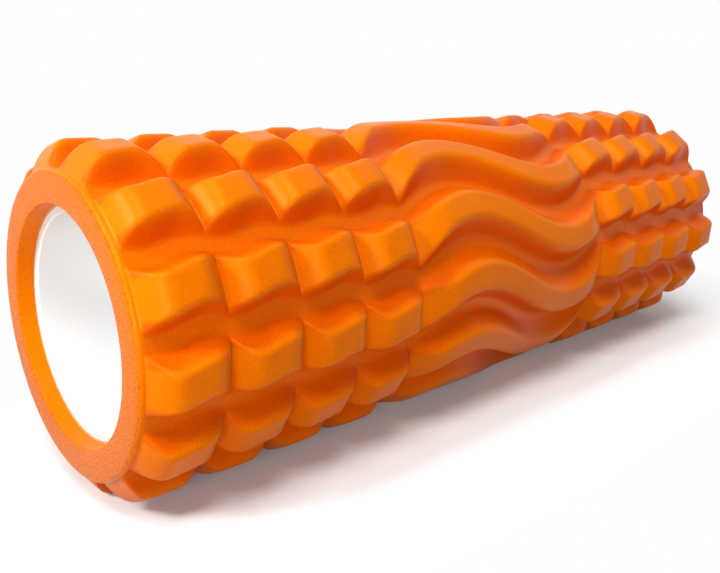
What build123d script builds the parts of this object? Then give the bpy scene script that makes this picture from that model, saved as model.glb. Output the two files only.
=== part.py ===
from build123d import *
import math
import os

# Grid foam roller: a hollow core tube with a moulded foam sleeve bonded round it.
# Millimetres. The roller's axis is X, +Z is up, and the origin is the middle of
# its axis. One row of the sleeve's pattern points straight down, so the roller
# lies on the flat tops of that row.

# ---- core tube ----
core_diameter = 76.2          # outside of the rigid tube, 3 in
core_wall = 3.0
core_recess = 5.5             # each end of the tube lies this far inside the sleeve
core_edge_chamfer = 0.6       # broken edge at the tube's cut ends
bond_thickness = 0.3          # glue line between the tube and the foam

# ---- foam sleeve ----
sleeve_length = 330.0
foam_thickness = 10.9         # from the glue line to the floor of the grooves
block_height = 8.5            # blocks and wave ribs, from that floor to their flat tops
end_land_length = 2.6         # plain foam at each end, outside the first block
end_edge_chamfer = 0.6        # broken edge round the flat end face

# ---- pattern of blocks and wave ribs ----
row_count = 13                # rows round the sleeve
blocks_per_zone = 4           # blocks along one row, at each end of the waves
block_pitch = 26.0            # from block to block along a row
notch_height = 1.2            # neighbours along a row meet this far above the floor
foot_depth = 0.6              # corners of the feet start this far under the floor
rib_top_width = 11.6          # across the flat top of a block or wave rib
rib_foot_width = 18.0         # across its drafted side walls, where they meet the floor
block_ramp = 3.2              # length of a block's steep ends, up from the notch
block_shoulder_drop = 2.2     # height of the gentler slope between end and flat top
block_shoulder_length = 4.0   # length of that gentler slope
wave_ramp = 8.6               # length of a wave rib's sloped ends, up from the notch
wave_shoulder_fillet = 16.0   # rounding where its ends meet its top
wave_swing = 10.0             # degrees, sideways swing of a wave rib
wave_sections = 13            # cross sections that guide one wave rib
trim_allowance = 1.0          # rows are shaped this much too tall, then trimmed to height

# ---- derived sizes ----
core_radius = core_diameter / 2
core_length = sleeve_length - 2 * core_recess
sleeve_bore_radius = core_radius + bond_thickness
floor_radius = sleeve_bore_radius + foam_thickness
top_radius = floor_radius + block_height
notch_radius = floor_radius + notch_height
foot_radius = math.sqrt(floor_radius**2 - (rib_foot_width / 2) ** 2) - foot_depth
row_angle = 360.0 / row_count
block_zone = blocks_per_zone * block_pitch
wave_length = sleeve_length - 2 * (end_land_length + block_zone)
wave_start = -wave_length / 2
wave_end = wave_length / 2
untrimmed_radius = top_radius + trim_allowance


def tube(length, outer_radius, inner_radius):
    """A plain tube centred on the X axis."""
    ring = Plane.YZ * (Circle(outer_radius) - Circle(inner_radius))
    return extrude(ring, amount=length / 2, both=True)


def core_tube():
    """The rigid tube, with its cut edges broken."""
    body = tube(core_length, core_radius, core_radius - core_wall)
    ends = body.edges().filter_by(GeomType.CIRCLE)
    return chamfer(ends, core_edge_chamfer)


def bond_film():
    """The glue line that fills the space between tube and foam."""
    return tube(core_length, sleeve_bore_radius, core_radius)


def sunk_run(ramp, rise):
    """How much further a ramp of that length and rise reaches when it goes on to the foot."""
    return (notch_radius - foot_radius) * ramp / rise


def block_reach():
    """How far a block's foot reaches past the notches at its ends."""
    return sunk_run(block_ramp, top_radius - block_shoulder_drop - notch_radius)


def wave_reach():
    """How far a wave rib's foot reaches past the notches at its ends."""
    return sunk_run(wave_ramp, top_radius - notch_radius)


def block_profile(start, end):
    """Outline of a block along the axis: steep end, gentle shoulder, flat top, and down."""
    shoulder = top_radius - block_shoulder_drop
    top_start = start + block_ramp + block_shoulder_length
    top_end = end - block_ramp - block_shoulder_length
    return make_face(
        Polyline(
            (start - block_reach(), foot_radius),
            (start + block_ramp, shoulder),
            (top_start, top_radius),
            (top_end, top_radius),
            (end - block_ramp, shoulder),
            (end + block_reach(), foot_radius),
            close=True,
        )
    )


def wave_profile(start, end):
    """Outline of a wave rib along the axis: long sloped ends with rounded shoulders."""
    outline = make_face(
        Polyline(
            (start - wave_reach(), foot_radius),
            (start + wave_ramp, top_radius),
            (end - wave_ramp, top_radius),
            (end + wave_reach(), foot_radius),
            close=True,
        )
    )
    shoulders = outline.vertices().filter_by(lambda v: v.Y > top_radius - 0.01)
    return fillet(shoulders, wave_shoulder_fillet)


def half_width(height):
    """Half the width of a row at a height above the axis, on its straight side walls."""
    draft = (rib_foot_width - rib_top_width) / 2 / block_height
    return rib_top_width / 2 + draft * (top_radius - height)


def cross_section(position, turn):
    """Untrimmed cross section of a row at a place along the axis, turned about the axis."""
    foot = half_width(foot_radius)
    top = half_width(top_radius)
    outline = Polyline(
        (-foot, foot_radius),
        (foot, foot_radius),
        (top, top_radius),
        (top, untrimmed_radius),
        (-top, untrimmed_radius),
        (-top, top_radius),
        close=True,
    )
    return Plane.YZ.offset(position) * (Rot(0, 0, -turn) * make_face(outline))


def block(start, end):
    """One raised block with a flat top, standing straight up from the axis."""
    reach = block_reach()
    profile = Plane.XZ * block_profile(start, end)
    slab = extrude(profile, amount=half_width(foot_radius) + trim_allowance, both=True)
    bar = extrude(cross_section(start - reach, 0), amount=end - start + 2 * reach)
    return slab & bar


def wave_turn(position):
    """Angle that a wave rib has swung to at a place along the axis."""
    return wave_swing * math.sin(2 * math.pi * (position - wave_start) / wave_length)


def wave_rib(start, end):
    """One rib that swings once to each side between the two block zones."""
    reach = wave_reach()
    first = start - reach
    spacing = (end - start + 2 * reach) / (wave_sections - 1)
    sections = []
    for index in range(wave_sections):
        position = first + index * spacing
        sections.append(cross_section(position, wave_turn(position)))
    return loft(sections) & revolve(Plane.XY * wave_profile(start, end), axis=Axis.X)


def bare_sleeve():
    """The tube of foam under the pattern, with the outer edges of its end faces broken."""
    body = tube(sleeve_length, floor_radius, sleeve_bore_radius)
    circles = body.edges().filter_by(GeomType.CIRCLE)
    outer_edges = circles.filter_by(lambda edge: edge.radius > foot_radius)
    return chamfer(outer_edges, end_edge_chamfer)


def foam_sleeve():
    """The moulded sleeve: a tube of foam with rows of blocks, waves and blocks on it."""
    row = [wave_rib(wave_start, wave_end)]
    for zone_start in (wave_start - block_zone, wave_end):
        for index in range(blocks_per_zone):
            start = zone_start + index * block_pitch
            row.append(block(start, start + block_pitch))
    pattern = []
    for index in range(row_count):
        for raised in row:
            pattern.append(Rot(180 + index * row_angle, 0, 0) * raised)
    return bare_sleeve() + pattern


os.makedirs("parts", exist_ok=True)
for name, piece in (
    ("core_tube", core_tube()),
    ("bond_film", bond_film()),
    ("foam_sleeve", foam_sleeve()),
):
    solids = piece.solids()
    print(name, "solids", len(solids), "volume", round(sum(s.volume for s in solids), 1))
    export_step(piece, f"parts/{name}.step")
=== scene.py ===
import math

import bpy
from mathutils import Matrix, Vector


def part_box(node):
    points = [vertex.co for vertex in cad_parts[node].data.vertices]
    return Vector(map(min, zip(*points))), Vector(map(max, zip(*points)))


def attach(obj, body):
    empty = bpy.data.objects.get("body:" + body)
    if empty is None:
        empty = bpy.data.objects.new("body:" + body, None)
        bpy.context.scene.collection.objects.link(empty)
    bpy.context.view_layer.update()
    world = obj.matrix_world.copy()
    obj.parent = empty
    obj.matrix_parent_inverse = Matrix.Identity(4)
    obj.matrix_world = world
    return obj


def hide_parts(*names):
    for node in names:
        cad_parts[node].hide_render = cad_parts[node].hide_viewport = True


bl_info = {
    "name": "Grid Foam Roller",
    "version": (1, 0, 0),
    "blender": (4, 5, 0),
    "location": "3D Viewport > Sidebar > Foam Roller",
    "description": "A hollow foam roller: white core tube, orange sleeve with blocks and waves",
    "category": "Object",
}

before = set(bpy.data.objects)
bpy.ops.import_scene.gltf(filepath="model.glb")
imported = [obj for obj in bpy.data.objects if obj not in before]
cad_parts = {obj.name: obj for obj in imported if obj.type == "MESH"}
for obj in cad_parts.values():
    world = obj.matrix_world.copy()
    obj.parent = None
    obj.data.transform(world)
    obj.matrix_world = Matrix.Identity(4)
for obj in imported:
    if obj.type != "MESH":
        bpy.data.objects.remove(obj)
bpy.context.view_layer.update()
SLEEVE_LOW, SLEEVE_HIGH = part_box("foam_sleeve")
BORE_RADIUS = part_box("bond_film")[1].z
MM = 0.001

# Mesh density of the sleeve. It keeps the sleeve just under 200,000 triangles.
BLOCK_STATIONS = 22  # along each block
WAVE_STATIONS = 54  # along each wave rib
STATION_CROWDING = 0.5  # 0 is even, 1 crowds them onto both ends of a block or rib
COLUMN_CROWDING = 0.6  # the same across a row, onto its side walls
FACE_RINGS = 3  # across the flat end face
INNER_ARC_STEPS = 3  # round the edge at the bore
OUTER_ARC_STEPS = 4  # round the edge at the outside

SMOOTH_FACTOR = 1.5  # a smooth minimum of this times a size rounds the corner by that size
TOP_RELIEF = 0.10 * MM  # the tops are this much lower, so that swayed ones stay in the solid

# How the painted shade of the walls, a redder colour, is laid, on a scale of 0 at the top's edge
# to 1 at the foot.
WALL_SHADE_GAIN = 2.5  # full colour is reached after 1 / 2.5 of the wall
GROOVE_SHADE_GAIN = 4.0  # and it fades again over 1 / 4 of a wall's width past the foot
GROOVE_SHADE_FADE = 0.55  # by this much


# ---------------------------------------------------------------- sizes and colours


class SleeveSettings(bpy.types.PropertyGroup):
    """Sizes and colours of the moulded foam sleeve."""

    length: bpy.props.FloatProperty(
        name="Length",
        description="Length of the sleeve, end face to end face",
        default=SLEEVE_HIGH.x - SLEEVE_LOW.x,
        unit="LENGTH",
    )
    top_radius: bpy.props.FloatProperty(
        name="Top Radius",
        description="From the axis to the flat tops of blocks and waves",
        default=-SLEEVE_LOW.z - TOP_RELIEF,
        unit="LENGTH",
    )
    notch_radius: bpy.props.FloatProperty(
        name="Notch Radius",
        description="From the axis to the bottom of the notches between blocks of a row",
        default=50.66 * MM,
        unit="LENGTH",
    )
    floor_radius: bpy.props.FloatProperty(
        name="Floor Radius",
        description="From the axis to the floor of the grooves between rows",
        default=49.19 * MM,
        unit="LENGTH",
    )
    bore_radius: bpy.props.FloatProperty(
        name="Bore Radius",
        description="From the axis to the inside of the sleeve",
        default=BORE_RADIUS,
        unit="LENGTH",
    )
    end_land: bpy.props.FloatProperty(
        name="End Land",
        description="Plain foam at each end, outside the first block",
        default=1.68 * MM,
        unit="LENGTH",
    )
    end_edge: bpy.props.FloatProperty(
        name="End Edge",
        description="Rounding between the end face and the outside",
        default=1.4 * MM,
        unit="LENGTH",
    )
    inner_edge: bpy.props.FloatProperty(
        name="Inner Edge",
        description="Rounding between the end face and the bore",
        default=0.7 * MM,
        unit="LENGTH",
    )
    rows: bpy.props.IntProperty(
        name="Rows", description="Rows of the pattern round the sleeve", default=13, min=3
    )
    blocks: bpy.props.IntProperty(
        name="Blocks per Zone",
        description="Blocks along a row at each end of the waves",
        default=4,
        min=1,
    )
    block_pitch: bpy.props.FloatProperty(
        name="Block Pitch",
        description="From block to block along a row",
        default=26.11 * MM,
        unit="LENGTH",
    )
    block_front_ramp: bpy.props.FloatProperty(
        name="Block Front Ramp",
        description="Length of the arched end of a block that faces the near end",
        default=7.90 * MM,
        unit="LENGTH",
    )
    block_back_ramp: bpy.props.FloatProperty(
        name="Block Back Ramp",
        description="Length of the other arched end of a block",
        default=8.96 * MM,
        unit="LENGTH",
    )
    wave_front_ramp: bpy.props.FloatProperty(
        name="Wave Front Ramp",
        description="Length of the slope at the near end of a wave rib",
        default=16.94 * MM,
        unit="LENGTH",
    )
    wave_back_ramp: bpy.props.FloatProperty(
        name="Wave Back Ramp",
        description="Length of the slope at the far end of a wave rib",
        default=20.57 * MM,
        unit="LENGTH",
    )
    block_top_angle: bpy.props.FloatProperty(
        name="Block Top Angle",
        description="Half the flat top of a block, as an angle about the axis",
        default=math.radians(5.75),
        unit="ROTATION",
    )
    block_foot_angle: bpy.props.FloatProperty(
        name="Block Foot Angle",
        description="Half the foot of a block, where its side walls meet the floor",
        default=math.radians(10.42),
        unit="ROTATION",
    )
    wave_top_angle: bpy.props.FloatProperty(
        name="Wave Top Angle",
        description="Half the flat top of a wave rib, as an angle about the axis",
        default=math.radians(5.03),
        unit="ROTATION",
    )
    wave_foot_angle: bpy.props.FloatProperty(
        name="Wave Foot Angle",
        description="Half the foot of a wave rib, where its side walls meet the floor",
        default=math.radians(11.17),
        unit="ROTATION",
    )
    block_sway: bpy.props.FloatProperty(
        name="Block Sway",
        description="Sideways bend of a block's long walls",
        default=math.radians(1.14),
        unit="ROTATION",
    )
    block_bulge: bpy.props.FloatProperty(
        name="Block Bulge",
        description="How far the middle of a block lies to one side of its ends",
        default=math.radians(0.98),
        unit="ROTATION",
    )
    wave_swing: bpy.props.FloatProperty(
        name="Wave Swing",
        description="Sideways swing of a wave rib",
        default=math.radians(10.57),
        unit="ROTATION",
    )
    edge_rounding: bpy.props.FloatProperty(
        name="Edge Rounding",
        description="Size of the soft edge round each flat top",
        default=2.07 * MM,
        unit="LENGTH",
    )
    floor_rounding: bpy.props.FloatProperty(
        name="Floor Rounding",
        description="Size of the soft corner at the foot of each wall",
        default=0.4 * MM,
        unit="LENGTH",
    )
    wave_floor_rounding: bpy.props.FloatProperty(
        name="Wave Floor Rounding",
        description="Size of the soft corner between two wave ribs",
        default=2.5 * MM,
        unit="LENGTH",
    )
    arch_power: bpy.props.FloatProperty(
        name="Arch Power",
        description="How full the arched ends of blocks and waves are; 2 is a parabola",
        default=1.95,
    )
    columns: bpy.props.IntProperty(
        name="Columns per Row",
        description="Faces across one row of the pattern",
        default=30,
        min=8,
    )
    colour: bpy.props.StringProperty(
        name="Foam Colour", description="Main colour of the foam, as hex", default="#FA7F00"
    )
    shade_colour: bpy.props.StringProperty(
        name="Shade Colour",
        description="Darker drift of the foam's colour, as hex",
        default="#F27600",
    )
    # painted shade: walls and grooves are drawn in this redder colour to stand in for the shade
    # and reddish bounce light there
    painted_shade_colour: bpy.props.StringProperty(
        name="Painted Shade Colour",
        description="Redder colour of the side walls and grooves, as hex",
        default="#EE6400",
    )


class TubeSettings(bpy.types.PropertyGroup):
    """Finish of the rigid tube and of the glue line round it."""

    colour: bpy.props.StringProperty(
        name="Tube Colour", description="Colour of the rigid tube, as hex", default="#FAFCFD"
    )
    glue_colour: bpy.props.StringProperty(
        name="Glue Colour", description="Colour of the dried glue, as hex", default="#D9B98A"
    )


class StageSettings(bpy.types.PropertyGroup):
    """Floor, light and camera."""

    floor_colour: bpy.props.StringProperty(
        name="Floor Colour", description="Colour of the floor, as hex", default="#FCFCFC"
    )
    bounce_colour: bpy.props.StringProperty(
        name="Bounce Colour",
        description="How the floor colours the light it throws back up, as hex",
        default="#CBC2B6",
    )
    light_power: bpy.props.FloatProperty(
        name="Light Power",
        description="Power that every lamp takes its share of",
        default=4.65,
        unit="POWER",
    )
    room_strength: bpy.props.FloatProperty(
        name="Room Light", description="Even light from all round", default=0.06, min=0.0
    )


# ---------------------------------------------------------------- shared helpers


def srgb(code):
    """Turns an sRGB hex colour into linear RGBA."""
    parts = [int(code[i : i + 2], 16) / 255 for i in (1, 3, 5)]
    return [p / 12.92 if p <= 0.04045 else ((p + 0.055) / 1.055) ** 2.4 for p in parts] + [1.0]


def add(tree, kind, sources=(), **settings):
    """Adds a node with its settings, and fills its inputs with values, sockets or nodes."""
    made = tree.nodes.new(kind)
    for name, value in settings.items():
        setattr(made, name, value)
    if isinstance(sources, dict):
        pairs = [(made.inputs[key], source) for key, source in sources.items()]
    else:
        pairs = zip([s for s in made.inputs if s.enabled], sources)
    for socket, source in pairs:
        if isinstance(source, bpy.types.Node):
            source = next(s for s in source.outputs if s.enabled)
        if isinstance(source, bpy.types.NodeSocket):
            tree.links.new(source, socket)
        elif source is not None:
            socket.default_value = source
    return made


def new_material(name):
    """An empty node material with its tree."""
    material = bpy.data.materials.new(name)
    material.use_nodes = True
    material.node_tree.nodes.clear()
    return material, material.node_tree


def seen_rays(tree):
    """1 for rays that show the background: straight, in a gloss or through clear pieces."""
    path = add(tree, "ShaderNodeLightPath").outputs
    straight_or_gloss = [path["Is Camera Ray"], path["Is Glossy Ray"]]
    seen = add(tree, "ShaderNodeMath", straight_or_gloss, operation="MAXIMUM")
    return add(tree, "ShaderNodeMath", [seen, path["Is Transmission Ray"]], operation="MAXIMUM")


# ---------------------------------------------------------------- materials


def eva_foam(settings):
    """Compression-moulded EVA foam: closed-cell skin, soft sheen, fine sandy grain.

    The colour is drawn redder on the drafted walls and in the grooves, which is painted shade;
    the skin is grainier on the cut ends.
    """
    material, tree = new_material("moulded_eva_foam")
    place = add(tree, "ShaderNodeTexCoord").outputs["Object"]

    # slow drift of the dye through the moulding, in clouds of 45 mm
    drift = add(
        tree,
        "ShaderNodeTexNoise",
        {"Vector": place, "Scale": 1 / (45 * MM), "Detail": 3.0, "Roughness": 0.6},
    )
    tops = add(tree, "ShaderNodeValToRGB", [drift.outputs["Fac"]])
    tops.color_ramp.elements[0].position = 0.3
    tops.color_ramp.elements[0].color = srgb(settings.shade_colour)
    tops.color_ramp.elements[1].position = 0.7
    tops.color_ramp.elements[1].color = srgb(settings.colour)
    # painted shade: the tops' colour is drawn redder on the side walls and in the grooves, by the
    # share kept in the wall attribute
    wall = add(tree, "ShaderNodeAttribute", attribute_name="wall").outputs["Fac"]
    skin = add(
        tree,
        "ShaderNodeMix",
        [wall, tops.outputs["Color"], srgb(settings.painted_shade_colour)],
        data_type="RGBA",
    )

    # cells of the foam, 0.2 mm in the real sheet, drawn at 0.6 mm so that they show
    cells = add(
        tree,
        "ShaderNodeTexNoise",
        {"Vector": place, "Scale": 1 / (0.6 * MM), "Detail": 2.0, "Roughness": 0.6},
    )
    specks = add(tree, "ShaderNodeValToRGB", [cells.outputs["Fac"]])
    specks.color_ramp.elements[0].position = 0.38
    specks.color_ramp.elements[0].color = srgb("#B9B1A8")
    specks.color_ramp.elements[1].position = 0.58
    specks.color_ramp.elements[1].color = srgb("#FFFFFF")
    # the end faces are cut through the cells, so their grain is stronger
    cut_depth, cut_grain, skin_grain = 0.3 * MM, 0.95, 0.2
    along = add(tree, "ShaderNodeSeparateXYZ", [place]).outputs["X"]
    from_middle = add(tree, "ShaderNodeMath", [along], operation="ABSOLUTE")
    cut = add(
        tree,
        "ShaderNodeMath",
        [from_middle, settings.length / 2 - cut_depth],
        operation="GREATER_THAN",
    )
    grain = add(
        tree,
        "ShaderNodeMath",
        [cut, cut_grain - skin_grain, skin_grain],
        operation="MULTIPLY_ADD",
    )
    colour = add(
        tree,
        "ShaderNodeMix",
        [grain, skin, specks.outputs["Color"]],
        data_type="RGBA",
        blend_type="MULTIPLY",
    )
    bump = add(
        tree,
        "ShaderNodeBump",
        {"Strength": 0.25, "Distance": 0.12 * MM, "Height": cells.outputs["Fac"]},
    )
    # the finely pitted skin shines less than solid EVA, whose IOR is 1.48
    shader = add(
        tree,
        "ShaderNodeBsdfPrincipled",
        {
            "Base Color": colour,
            "Roughness": 0.35,
            "IOR": 1.25,
            "Specular IOR Level": 0.45,
            "Specular Tint": srgb("#FFF08C"),
            "Subsurface Weight": 0.2,
            "Subsurface Radius": (1.0, 0.2, 0.05),
            "Subsurface Scale": 2.0 * MM,
            "Normal": bump.outputs["Normal"],
        },
    )
    add(tree, "ShaderNodeOutputMaterial", {"Surface": shader.outputs["BSDF"]})
    return material


def extruded_pvc(settings):
    """Extruded white PVC: glossy, with faint draw lines along the tube."""
    material, tree = new_material("extruded_white_pvc")
    place = add(tree, "ShaderNodeTexCoord").outputs["Object"]
    stretched = add(tree, "ShaderNodeMapping", {"Vector": place, "Scale": (0.02, 1.0, 1.0)})
    # lines left by the die, about 0.3 mm wide, drawn at 1.2 mm so that they show
    lines = add(
        tree,
        "ShaderNodeTexNoise",
        {"Vector": stretched, "Scale": 1 / (1.2 * MM), "Detail": 2.0, "Roughness": 0.5},
    )
    bump = add(
        tree,
        "ShaderNodeBump",
        {"Strength": 0.12, "Distance": 0.05 * MM, "Height": lines.outputs["Fac"]},
    )
    shader = add(
        tree,
        "ShaderNodeBsdfPrincipled",
        {
            "Base Color": srgb(settings.colour),
            "Roughness": 0.3,
            "IOR": 1.53,
            "Normal": bump.outputs["Normal"],
        },
    )
    add(tree, "ShaderNodeOutputMaterial", {"Surface": shader.outputs["BSDF"]})
    return material


def dried_glue(settings):
    """Dried contact adhesive: amber film with small lumps and a dull shine."""
    material, tree = new_material("dried_contact_adhesive")
    place = add(tree, "ShaderNodeTexCoord").outputs["Object"]
    # lumps of 2.5 mm, as a brush or roller leaves them
    lumps = add(
        tree,
        "ShaderNodeTexNoise",
        {"Vector": place, "Scale": 1 / (2.5 * MM), "Detail": 3.0, "Roughness": 0.6},
    )
    shades = add(tree, "ShaderNodeValToRGB", [lumps.outputs["Fac"]])
    shades.color_ramp.elements[0].position = 0.35
    shades.color_ramp.elements[0].color = srgb("#C79A5C")
    shades.color_ramp.elements[1].position = 0.65
    shades.color_ramp.elements[1].color = srgb(settings.glue_colour)
    bump = add(
        tree,
        "ShaderNodeBump",
        {"Strength": 0.4, "Distance": 0.2 * MM, "Height": lumps.outputs["Fac"]},
    )
    shader = add(
        tree,
        "ShaderNodeBsdfPrincipled",
        {
            "Base Color": shades.outputs["Color"],
            "Roughness": 0.45,
            "Normal": bump.outputs["Normal"],
        },
    )
    add(tree, "ShaderNodeOutputMaterial", {"Surface": shader.outputs["BSDF"]})
    return material


# ---------------------------------------------------------------- foam sleeve


SLEEVE_SIZES = {
    "Block Pitch": "block_pitch",
    "Top Radius": "top_radius",
    "Notch Radius": "notch_radius",
    "Floor Radius": "floor_radius",
    "Block Front Ramp": "block_front_ramp",
    "Block Back Ramp": "block_back_ramp",
    "Wave Front Ramp": "wave_front_ramp",
    "Wave Back Ramp": "wave_back_ramp",
    "Block Top Angle": "block_top_angle",
    "Block Foot Angle": "block_foot_angle",
    "Wave Top Angle": "wave_top_angle",
    "Wave Foot Angle": "wave_foot_angle",
    "Block Sway": "block_sway",
    "Block Bulge": "block_bulge",
    "Wave Swing": "wave_swing",
    "Edge Rounding": "edge_rounding",
    "Floor Rounding": "floor_rounding",
    "Wave Floor Rounding": "wave_floor_rounding",
    "Arch Power": "arch_power",
}


def eased(count):
    """Fractions from 0 to 1 that lie closer together near both ends."""
    steps = [i / count for i in range(count)]
    return [t - STATION_CROWDING * math.sin(2 * math.pi * t) / (2 * math.pi) for t in steps]


def quarter_arc(steps):
    """Sine and cosine of even steps through a quarter turn, without its start."""
    turns = [math.radians(90 * i / steps) for i in range(1, steps + 1)]
    return [(math.sin(turn), math.cos(turn)) for turn in turns]


def sleeve_outline(s):
    """The closed outline of the sleeve without its pattern, as (along, out) points."""
    half = s.length / 2
    pattern_half = half - s.end_land
    wave_half = pattern_half - s.blocks * s.block_pitch
    face_out = s.floor_radius - s.end_edge
    face_in = s.bore_radius + s.inner_edge
    end = [(half - s.inner_edge, s.bore_radius)]
    for sine, cosine in quarter_arc(INNER_ARC_STEPS):
        end.append((half - s.inner_edge * (1 - sine), face_in - s.inner_edge * cosine))
    ring = (face_out - face_in) / FACE_RINGS
    end += [(half, face_in + ring * (i + 1)) for i in range(FACE_RINGS)]
    for sine, cosine in quarter_arc(OUTER_ARC_STEPS):
        end.append((half - s.end_edge * (1 - cosine), face_out + s.end_edge * sine))
    end.append((half - (s.end_edge + s.end_land) / 2, s.floor_radius))
    outside = []
    for start in (-pattern_half, wave_half):
        for block in range(s.blocks):
            outside += [start + (block + t) * s.block_pitch for t in eased(BLOCK_STATIONS)]
        if start < 0:
            outside += [-wave_half + 2 * wave_half * t for t in eased(WAVE_STATIONS)]
    outside.append(pattern_half)
    near = [(-along, out) for along, out in end]
    return near + [(along, s.floor_radius) for along in outside] + end[::-1]


# The shape of one row, as steps of (result, operation, sources). A source is a number, an earlier
# result, an input of the tree, or one of: "across", from -0.5 to 0.5 over the row; "x" and
# "base", the outline's place along the axis and out from it. PICK takes its first source on
# the blocks and its second on the waves. The results used are the point "x", "y", "z", the
# share "wall" of the painted shade, drawn as a redder colour on the walls and in the grooves,
# and "row angle", the angle from row to row.
ROW_STEPS = (
    # angle from the middle of the row, with columns crowded onto the side walls
    ("row angle", "DIVIDE", 2 * math.pi, "Rows"),
    ("phase", "MULTIPLY", "across", 4 * math.pi),
    ("crowding", "SINE", "phase"),
    ("spread", "MULTIPLY_ADD", "crowding", COLUMN_CROWDING / (4 * math.pi), "across"),
    ("angle", "MULTIPLY", "spread", "row angle"),
    ("off middle", "ABSOLUTE", "angle"),
    # distance from both ends of the block or wave rib at this station
    ("from centre", "ABSOLUTE", "x"),
    ("in wave", "LESS_THAN", "from centre", "Wave Half Length"),
    ("side of centre", "SIGN", "x"),
    ("zone edge", "MULTIPLY", "side of centre", "Wave Half Length"),
    ("past edge", "SUBTRACT", "x", "zone edge"),
    ("in block", "FLOORED_MODULO", "past edge", "Block Pitch"),
    ("in rib", "ADD", "x", "Wave Half Length"),
    ("rib length", "MULTIPLY", "Wave Half Length", 2.0),
    ("span", "PICK", "Block Pitch", "rib length"),
    ("front distance", "PICK", "in block", "in rib"),
    ("back distance", "SUBTRACT", "span", "front distance"),
    ("front ramp", "PICK", "Block Front Ramp", "Wave Front Ramp"),
    ("back ramp", "PICK", "Block Back Ramp", "Wave Back Ramp"),
    # how far the arched ends have risen, from 0 in the notch to 1 on top
    ("front run", "DIVIDE", "front distance", "front ramp"),
    ("front rest", "SUBTRACT", 1.0, "front run"),
    ("front left", "MAXIMUM", "front rest", 0.0),
    ("front curve", "POWER", "front left", "Arch Power"),
    ("front rise", "SUBTRACT", 1.0, "front curve"),
    ("back run", "DIVIDE", "back distance", "back ramp"),
    ("back rest", "SUBTRACT", 1.0, "back run"),
    ("back left", "MAXIMUM", "back rest", 0.0),
    ("back curve", "POWER", "back left", "Arch Power"),
    ("back rise", "SUBTRACT", 1.0, "back curve"),
    ("risen", "MULTIPLY", "front rise", "back rise"),
    # the notch runs out to the groove floor where the pattern ends
    ("to pattern end", "SUBTRACT", "Pattern Half Length", "from centre"),
    ("end run", "DIVIDE", "to pattern end", "Block Front Ramp"),
    ("joined", "MINIMUM", "end run", 1.0),
    ("notch rise", "SUBTRACT", "Notch Radius", "Floor Radius"),
    ("notch", "MULTIPLY_ADD", "notch rise", "joined", "Floor Radius"),
    # height: the lower of crown and side walls, with soft edges
    ("slant", "COSINE", "angle"),
    ("flat top", "DIVIDE", "Top Radius", "slant"),
    ("crown rise", "SUBTRACT", "flat top", "notch"),
    ("crown", "MULTIPLY_ADD", "crown rise", "risen", "notch"),
    ("top angle", "PICK", "Block Top Angle", "Wave Top Angle"),
    ("foot angle", "PICK", "Block Foot Angle", "Wave Foot Angle"),
    ("wall angle", "SUBTRACT", "foot angle", "top angle"),
    ("down wall", "SUBTRACT", "foot angle", "off middle"),
    ("wall share", "DIVIDE", "down wall", "wall angle"),
    ("full rise", "SUBTRACT", "Top Radius", "Floor Radius"),
    ("side wall", "MULTIPLY_ADD", "wall share", "full rise", "Floor Radius"),
    ("edge softness", "MULTIPLY", "Edge Rounding", SMOOTH_FACTOR),
    ("capped", "SMOOTH_MIN", "crown", "side wall", "edge softness"),
    ("more rounding", "SUBTRACT", "Wave Floor Rounding", "Floor Rounding"),
    ("wave rounding", "MULTIPLY_ADD", "more rounding", "risen", "Floor Rounding"),
    ("floor rounding", "PICK", "Floor Rounding", "wave rounding"),
    ("floor softness", "MULTIPLY", "floor rounding", SMOOTH_FACTOR),
    ("height", "SMOOTH_MAX", "capped", "Floor Radius", "floor softness"),
    # nothing rises outside the pattern
    ("end foot", "DIVIDE", "to pattern end", "Floor Rounding"),
    ("end foot up", "MINIMUM", "end foot", 1.0),
    ("raised", "MAXIMUM", "end foot up", 0.0),
    ("over floor", "SUBTRACT", "height", "Floor Radius"),
    ("lift", "MULTIPLY", "over floor", "raised"),
    ("radius", "ADD", "base", "lift"),
    # painted shade, a redder colour: none on the tops, full on the side walls, and less in the
    # grooves
    ("off top", "SUBTRACT", 1.0, "wall share"),
    ("onto wall", "MULTIPLY", "off top", WALL_SHADE_GAIN),
    ("low wall", "MINIMUM", "onto wall", 1.0),
    ("wall depth", "MAXIMUM", "low wall", 0.0),
    ("past foot", "MULTIPLY_ADD", "off top", GROOVE_SHADE_GAIN, -GROOVE_SHADE_GAIN),
    ("in groove", "MINIMUM", "past foot", 1.0),
    ("groove depth", "MAXIMUM", "in groove", 0.0),
    ("painted shade share", "MULTIPLY_ADD", "groove depth", -GROOVE_SHADE_FADE, "wall depth"),
    ("wall", "MULTIPLY", "painted shade share", "raised"),
    # sideways sway of the row, and the point round the axis
    ("way along", "DIVIDE", "front distance", "span"),
    ("turn", "MULTIPLY", "way along", 2 * math.pi),
    ("sway wave", "SINE", "turn"),
    ("wave side", "MULTIPLY", "Wave Swing", -1.0),
    ("swing", "PICK", "Block Sway", "wave side"),
    ("half turn", "MULTIPLY", "way along", math.pi),
    ("bulge wave", "SINE", "half turn"),
    ("bulge side", "MULTIPLY", "Block Bulge", -1.0),
    ("bulge size", "PICK", "bulge side", 0.0),
    ("bulge", "MULTIPLY", "bulge wave", "bulge size"),
    ("full sway", "MULTIPLY_ADD", "sway wave", "swing", "bulge"),
    ("around", "MULTIPLY_ADD", "full sway", "raised", "angle"),
    ("sine", "SINE", "around"),
    ("cosine", "COSINE", "around"),
    ("other side", "MULTIPLY", "sine", -1.0),
    ("y", "MULTIPLY", "other side", "radius"),
    ("z", "MULTIPLY", "cosine", "radius"),
)


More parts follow.
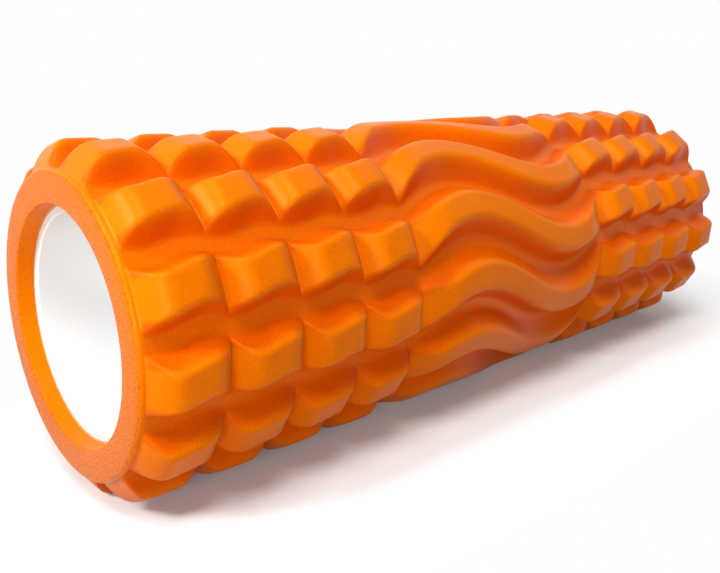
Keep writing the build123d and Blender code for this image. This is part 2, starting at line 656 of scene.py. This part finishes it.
def sleeve_tree(material):
    """Geometry Nodes: sweeps the outline through one row, raises blocks and waves, repeats it."""
    tree = bpy.data.node_groups.new("foam_sleeve_pattern", "GeometryNodeTree")
    tree.interface.new_socket("Outline", in_out="INPUT", socket_type="NodeSocketGeometry")
    for name in ("Stations", "Columns", "Rows"):
        tree.interface.new_socket(name, in_out="INPUT", socket_type="NodeSocketInt")
    for name in ("Pattern Half Length", "Wave Half Length", *SLEEVE_SIZES):
        tree.interface.new_socket(name, in_out="INPUT", socket_type="NodeSocketFloat")
    tree.interface.new_socket("Sleeve", in_out="OUTPUT", socket_type="NodeSocketGeometry")
    given = add(tree, "NodeGroupInput").outputs

    # one row: a sheet of stations along the outline by columns round the axis
    sides = [
        add(tree, "ShaderNodeMath", [given[name], 1.0], operation="ADD")
        for name in ("Stations", "Columns")
    ]
    sheet = add(
        tree,
        "GeometryNodeMeshGrid",
        {"Size X": 1.0, "Size Y": 1.0, "Vertices X": sides[0], "Vertices Y": sides[1]},
    )
    spot = add(tree, "ShaderNodeSeparateXYZ", [add(tree, "GeometryNodeInputPosition")])
    share = add(tree, "ShaderNodeMath", [spot.outputs["X"], 0.5], operation="ADD")
    count = add(tree, "ShaderNodeMath", [share, given["Stations"]], operation="MULTIPLY")
    whole = add(tree, "ShaderNodeMath", [count], operation="ROUND")
    station = add(tree, "ShaderNodeMath", [whole, given["Stations"]], operation="FLOORED_MODULO")
    outline_spot = add(
        tree,
        "GeometryNodeSampleIndex",
        {
            "Geometry": given["Outline"],
            "Value": add(tree, "GeometryNodeInputPosition"),
            "Index": station,
        },
        data_type="FLOAT_VECTOR",
    )
    outline_parts = add(tree, "ShaderNodeSeparateXYZ", [outline_spot])

    value = {socket.name: socket for socket in given}
    value["across"] = spot.outputs["Y"]
    value["x"] = outline_parts.outputs["X"]
    value["base"] = outline_parts.outputs["Z"]
    for result, operation, *sources in ROW_STEPS:
        wired = [value.get(source, source) for source in sources]
        if operation == "PICK":
            # for numbers, inputs 0, 2 and 3 of a Mix node are its factor, A and B
            wired = {0: value["in wave"], 2: wired[0], 3: wired[1]}
            value[result] = add(tree, "ShaderNodeMix", wired)
        else:
            value[result] = add(tree, "ShaderNodeMath", wired, operation=operation)

    place = add(tree, "ShaderNodeCombineXYZ", [value["x"], value["y"], value["z"]])
    # keeps the share of painted shade as the wall attribute, which the foam's material reads
    marked = add(
        tree,
        "GeometryNodeStoreNamedAttribute",
        {"Geometry": sheet, "Name": "wall", "Value": value["wall"]},
        data_type="FLOAT",
        domain="POINT",
    )
    shaped = add(tree, "GeometryNodeSetPosition", {"Geometry": marked, "Position": place})

    # repeat the row round the axis, one row straight down, close the seams and flip the faces,
    # which point into the foam until then
    centres = add(tree, "GeometryNodeMeshLine", {"Count": given["Rows"], "Offset": (0, 0, 0)})
    row_turn = add(
        tree,
        "ShaderNodeMath",
        [add(tree, "GeometryNodeInputIndex"), value["row angle"], math.pi],
        operation="MULTIPLY_ADD",
    )
    rows = add(
        tree,
        "GeometryNodeInstanceOnPoints",
        {
            "Points": centres,
            "Instance": shaped,
            "Rotation": add(tree, "ShaderNodeCombineXYZ", [row_turn, 0.0, 0.0]),
        },
    )
    real = add(tree, "GeometryNodeRealizeInstances", [rows])
    seam = 0.02 * MM
    closed = add(tree, "GeometryNodeMergeByDistance", {"Geometry": real, "Distance": seam})
    outward = add(tree, "GeometryNodeFlipFaces", [closed])
    smooth = add(tree, "GeometryNodeSetShadeSmooth", {"Geometry": outward, "Shade Smooth": True})
    finished = add(tree, "GeometryNodeSetMaterial", {"Geometry": smooth, "Material": material})
    add(tree, "NodeGroupOutput", [finished])
    return tree


def plain_mesh(host, name):
    """The evaluated shape of a node-built object, as a plain object of its own."""
    graph = bpy.context.evaluated_depsgraph_get()
    mesh = bpy.data.meshes.new_from_object(host.evaluated_get(graph))
    mesh.name = name
    made = bpy.data.objects.new(name, mesh)
    bpy.context.scene.collection.objects.link(made)
    bpy.data.objects.remove(host)
    return made


class FOAMROLLER_OT_sleeve(bpy.types.Operator):
    """Make the moulded foam sleeve with its blocks and waves"""

    bl_idname = "foamroller.sleeve"
    bl_label = "Foam Sleeve"

    def execute(self, context):
        s = context.scene.foam_sleeve_settings
        points = sleeve_outline(s)
        mesh = bpy.data.meshes.new("sleeve_outline")
        edges = [(i, (i + 1) % len(points)) for i in range(len(points))]
        mesh.from_pydata([(along, 0.0, out) for along, out in points], edges, [])
        host = bpy.data.objects.new("sleeve_outline", mesh)
        context.scene.collection.objects.link(host)

        tree = sleeve_tree(eva_foam(s))
        modifier = host.modifiers.new("pattern", "NODES")
        modifier.node_group = tree
        pattern_half = s.length / 2 - s.end_land
        values = {name: getattr(s, setting) for name, setting in SLEEVE_SIZES.items()}
        values["Stations"] = len(points)
        values["Columns"] = s.columns
        values["Rows"] = s.rows
        values["Pattern Half Length"] = pattern_half
        values["Wave Half Length"] = pattern_half - s.blocks * s.block_pitch
        for item in tree.interface.items_tree:
            if item.name in values:
                modifier[item.identifier] = values[item.name]
        sleeve = plain_mesh(host, "moulded_sleeve")
        if len(sleeve.data.polygons) == 0:
            raise RuntimeError("the sleeve's pattern made no faces")
        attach(sleeve, "root")
        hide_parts("foam_sleeve")
        return {"FINISHED"}


# ---------------------------------------------------------------- core tube and glue line


class FOAMROLLER_OT_tube(bpy.types.Operator):
    """Give the core tube and the glue line round it their finishes"""

    bl_idname = "foamroller.tube"
    bl_label = "Core Tube and Glue Line"

    def execute(self, context):
        settings = context.scene.foam_tube_settings
        for name, material in (
            ("core_tube", extruded_pvc(settings)),
            ("bond_film", dried_glue(settings)),
        ):
            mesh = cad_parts[name].data
            mesh.materials.clear()
            mesh.materials.append(material)
        return {"FINISHED"}


# ---------------------------------------------------------------- stage


FLOOR_REACH = 6.0  # from the middle to each side of the floor
SHADOW_HALF_LENGTH = SLEEVE_HIGH.x  # the floor takes the object's shadow within this along X
SHADOW_HALF_WIDTH = 0.06  # and within this along Y
SHADOW_END = 1.9  # and fades to plain white at this many times that distance

# soft square lamps aimed at the origin: name, place, side, share of the light power
LAMPS = (
    ("key_light", (-0.39, -0.39, 0.95), 0.45, 1.45),
    ("side_light", (-0.90, 0.06, 0.63), 0.25, 1.5),
    ("low_light", (-0.76, -0.76, 0.23), 0.40, 0.66),
    ("back_light", (0.55, 0.90, 0.50), 0.60, 1.0),
)
GLINTLESS = ("back_light",)  # would put a glare on the far rows

# a narrow soft beam into the near end of the bore
BORE_LAMP_PLACE = (-0.62, -0.36, 0.08)
BORE_LAMP_AIM = (-0.13, 0.01, 0.016)
BORE_LAMP_CONE = math.radians(9)
BORE_LAMP_RADIUS = 0.04
BORE_LAMP_SHARE = 2.1

CAMERA_PLACE = (-252.92 * MM, -232.14 * MM, 72.45 * MM)
CAMERA_TURN = (76.954, 0.448, -42.347)  # degrees
CAMERA_LENS = 39.156  # millimetres, on a sensor 36 mm wide
CAMERA_SHIFT = (0.0025, -0.0285)


def place_in_scene(name, data, place, turn=(0, 0, 0)):
    """Puts a floor, lamp or camera into the scene."""
    holder = bpy.data.objects.new(name, data)
    holder.location = place
    holder.rotation_euler = turn
    bpy.context.scene.collection.objects.link(holder)
    return holder


def facing(place, aim):
    """The turn that points a lamp at a place from another."""
    return (Vector(aim) - Vector(place)).to_track_quat("-Z", "Y").to_euler()


def make_floor(settings):
    """A plain pale floor: painted where the shadow falls, and plain white further out."""
    level = SLEEVE_LOW.z
    signs = ((-1, -1), (1, -1), (1, 1), (-1, 1))
    corners = [(x * FLOOR_REACH, y * FLOOR_REACH, level) for x, y in signs]
    mesh = bpy.data.meshes.new("studio_floor")
    mesh.from_pydata(corners, [], [(0, 1, 2, 3)])
    material, tree = new_material("studio_floor")
    around = add(
        tree,
        "ShaderNodeMapping",
        {
            "Vector": add(tree, "ShaderNodeTexCoord").outputs["Object"],
            "Scale": (1 / SHADOW_HALF_LENGTH, 1 / SHADOW_HALF_WIDTH, 0.0),
        },
    )
    away = add(tree, "ShaderNodeVectorMath", [around], operation="LENGTH").outputs["Value"]
    fade = add(
        tree,
        "ShaderNodeMapRange",
        {"Value": away, "From Min": 1.0, "From Max": SHADOW_END, "To Min": 0.0, "To Max": 1.0},
        interpolation_type="SMOOTHSTEP",
    )
    paint = add(
        tree,
        "ShaderNodeBsdfDiffuse",
        {"Color": srgb(settings.floor_colour), "Roughness": 1.0},
    )
    white = add(tree, "ShaderNodeEmission", {"Color": srgb("#FFFFFF"), "Strength": 1.0})
    seen = add(tree, "ShaderNodeMixShader", [fade, paint, white])
    bounce = add(
        tree,
        "ShaderNodeBsdfDiffuse",
        {"Color": srgb(settings.bounce_colour), "Roughness": 1.0},
    )
    mixed = add(tree, "ShaderNodeMixShader", [seen_rays(tree), bounce, seen])
    add(tree, "ShaderNodeOutputMaterial", {"Surface": mixed})
    mesh.materials.append(material)
    place_in_scene("studio_floor", mesh, (0, 0, 0))


def make_room(settings):
    """A white room that lights the object only a little."""
    world = bpy.data.worlds.new("studio_room")
    world.use_nodes = True
    tree = world.node_tree
    tree.nodes.clear()
    shades = [
        add(tree, "ShaderNodeBackground", {"Color": srgb("#FFFFFF"), "Strength": strength})
        for strength in (settings.room_strength, 1.0)
    ]
    room = add(tree, "ShaderNodeMixShader", [seen_rays(tree), *shades])
    add(tree, "ShaderNodeOutputWorld", {"Surface": room})
    bpy.context.scene.world = world


def make_lamp(settings, name, place, side, share):
    """One soft square lamp, aimed at the origin."""
    lamp = bpy.data.lights.new(name, "AREA")
    lamp.size = side
    lamp.energy = settings.light_power * share
    holder = place_in_scene(name, lamp, place, facing(place, (0, 0, 0)))
    holder.visible_glossy = name not in GLINTLESS


def make_bore_lamp(settings):
    """The narrow beam that shows the inside of the tube."""
    lamp = bpy.data.lights.new("bore_light", "SPOT")
    lamp.energy = settings.light_power * BORE_LAMP_SHARE
    lamp.spot_size = BORE_LAMP_CONE
    lamp.spot_blend = 1.0
    lamp.shadow_soft_size = BORE_LAMP_RADIUS
    turn = facing(BORE_LAMP_PLACE, BORE_LAMP_AIM)
    place_in_scene("bore_light", lamp, BORE_LAMP_PLACE, turn)


def make_camera():
    """The camera, low in front of the near end."""
    camera = bpy.data.cameras.new("camera")
    camera.lens = CAMERA_LENS
    camera.sensor_width = 36.0
    camera.shift_x, camera.shift_y = CAMERA_SHIFT
    camera.clip_start = 0.01
    turn = [math.radians(angle) for angle in CAMERA_TURN]
    bpy.context.scene.camera = place_in_scene("camera", camera, CAMERA_PLACE, turn)


class FOAMROLLER_OT_stage(bpy.types.Operator):
    """Make the floor, the light and the camera"""

    bl_idname = "foamroller.stage"
    bl_label = "Stage"

    def execute(self, context):
        settings = context.scene.foam_stage_settings
        context.scene.view_settings.view_transform = "Standard"
        make_floor(settings)
        make_room(settings)
        for lamp in LAMPS:
            make_lamp(settings, *lamp)
        make_bore_lamp(settings)
        make_camera()
        return {"FINISHED"}


# ---------------------------------------------------------------- panel and start


class FOAMROLLER_PT_panel(bpy.types.Panel):
    """Lists the roller's parts in the sidebar"""

    bl_idname = "FOAMROLLER_PT_panel"
    bl_label = "Foam Roller"
    bl_space_type = "VIEW_3D"
    bl_region_type = "UI"
    bl_category = "Foam Roller"

    def draw(self, context):
        for operator in OPERATORS:
            self.layout.operator(operator.bl_idname)


SETTINGS = (
    ("foam_sleeve_settings", SleeveSettings),
    ("foam_tube_settings", TubeSettings),
    ("foam_stage_settings", StageSettings),
)
OPERATORS = (FOAMROLLER_OT_sleeve, FOAMROLLER_OT_tube, FOAMROLLER_OT_stage)


def register():
    """Registers the settings, the operators and the panel."""
    for name, group in SETTINGS:
        bpy.utils.register_class(group)
        setattr(bpy.types.Scene, name, bpy.props.PointerProperty(type=group))
    for operator in OPERATORS:
        bpy.utils.register_class(operator)
    bpy.utils.register_class(FOAMROLLER_PT_panel)


def unregister():
    """Undoes register."""
    bpy.utils.unregister_class(FOAMROLLER_PT_panel)
    for operator in reversed(OPERATORS):
        bpy.utils.unregister_class(operator)
    for name, group in reversed(SETTINGS):
        delattr(bpy.types.Scene, name)
        bpy.utils.unregister_class(group)


def main():
    """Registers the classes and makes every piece."""
    register()
    bpy.ops.foamroller.sleeve()
    bpy.ops.foamroller.tube()
    bpy.ops.foamroller.stage()


if __name__ == "__main__":
    main()
